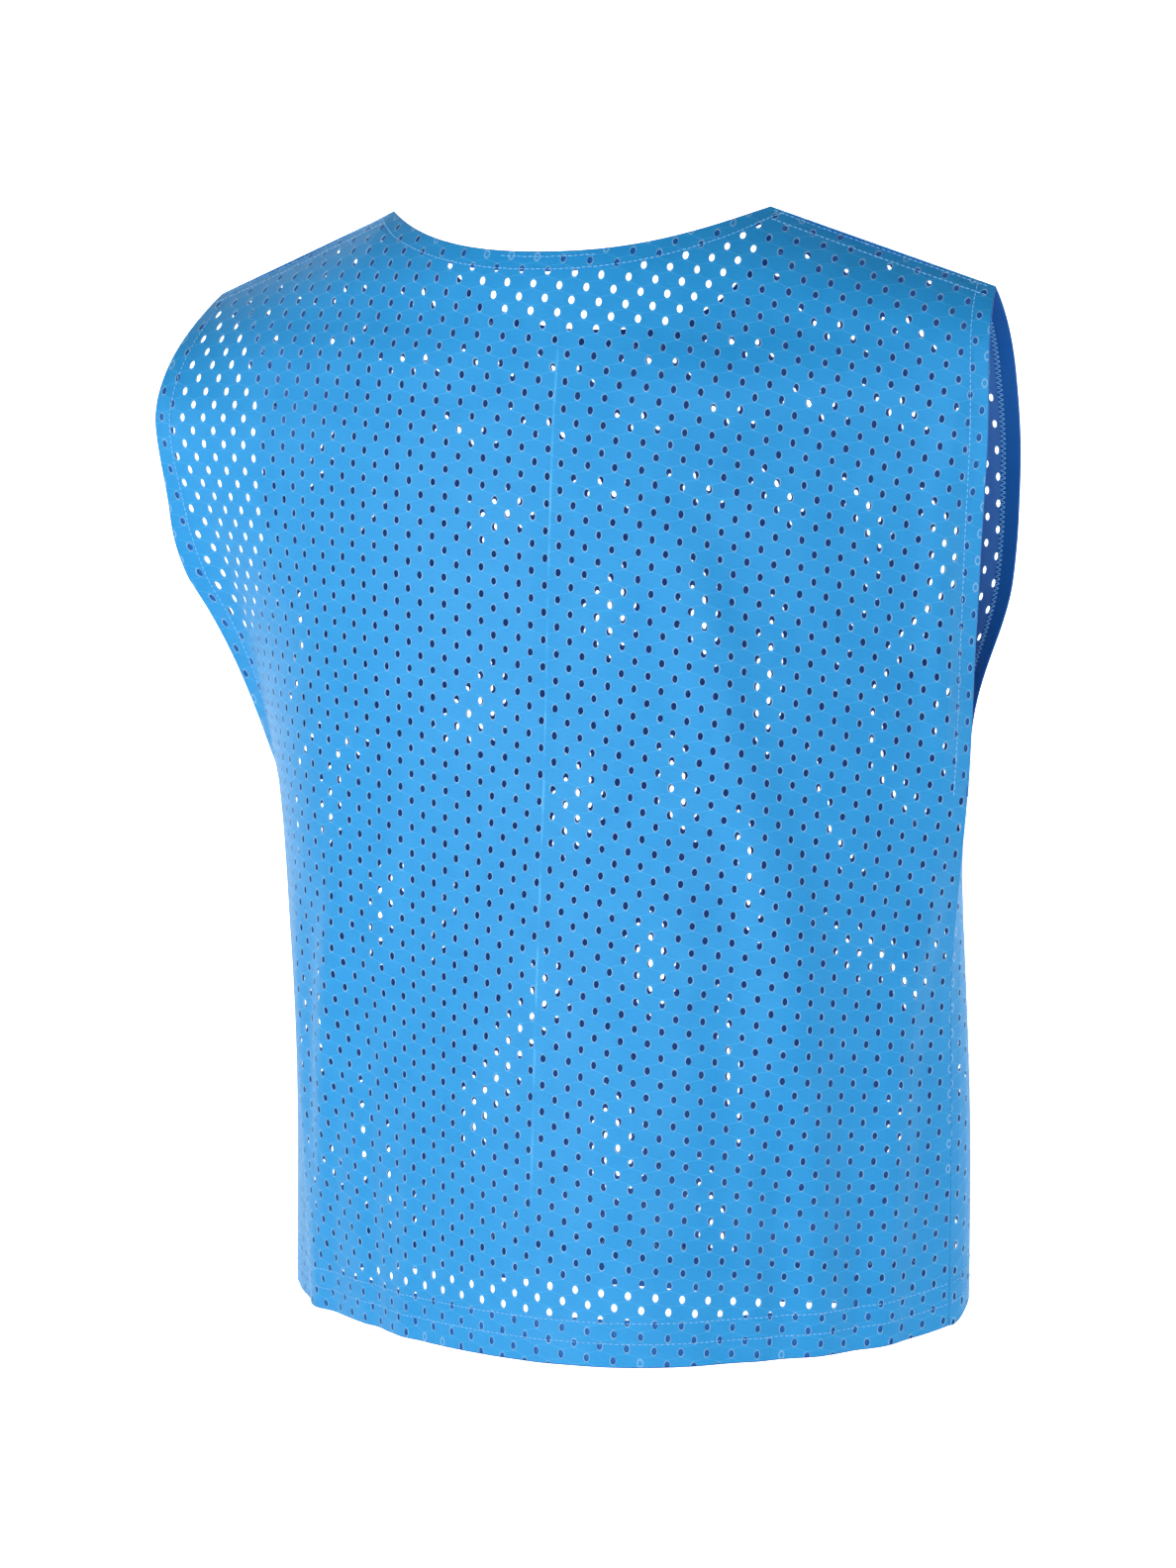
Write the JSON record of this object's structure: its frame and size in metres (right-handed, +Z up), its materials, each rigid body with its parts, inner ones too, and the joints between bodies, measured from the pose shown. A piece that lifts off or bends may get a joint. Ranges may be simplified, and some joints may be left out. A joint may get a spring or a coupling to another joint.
{
  "type": "training bib",
  "caption": "Sleeveless training bib of perforated mesh knit, filled out as worn, with open neck, armholes and hem.",
  "frame": {"origin": "midway between the neck ends of the two shoulder seams, where the bib rests on its wearer", "axes": "+Z up, the front panel faces -Y and the back panel +Y, the wearer's left is +X"},
  "size_m": [0.487, 0.2312, 0.6447],
  "materials": {
    "back_mesh": "blue polyester mesh knit with a soft sheen",
    "front_mesh": "blue polyester mesh knit with a soft sheen",
    "hem_neck": "blue polyester mesh knit with a soft sheen",
    "hem_armhole_left": "blue polyester mesh knit with a soft sheen",
    "hem_armhole_right": "blue polyester mesh knit with a soft sheen",
    "hem_bottom": "blue polyester mesh knit with a soft sheen"
  },
  "bodies": {
    "root": {"back_panel": "back_mesh", "front_panel": "front_mesh", "neck_hem": "hem_neck", "armhole_hem_left": "hem_armhole_left", "armhole_hem_right": "hem_armhole_right", "bottom_hem": "hem_bottom"}
  },
  "joints": []
}
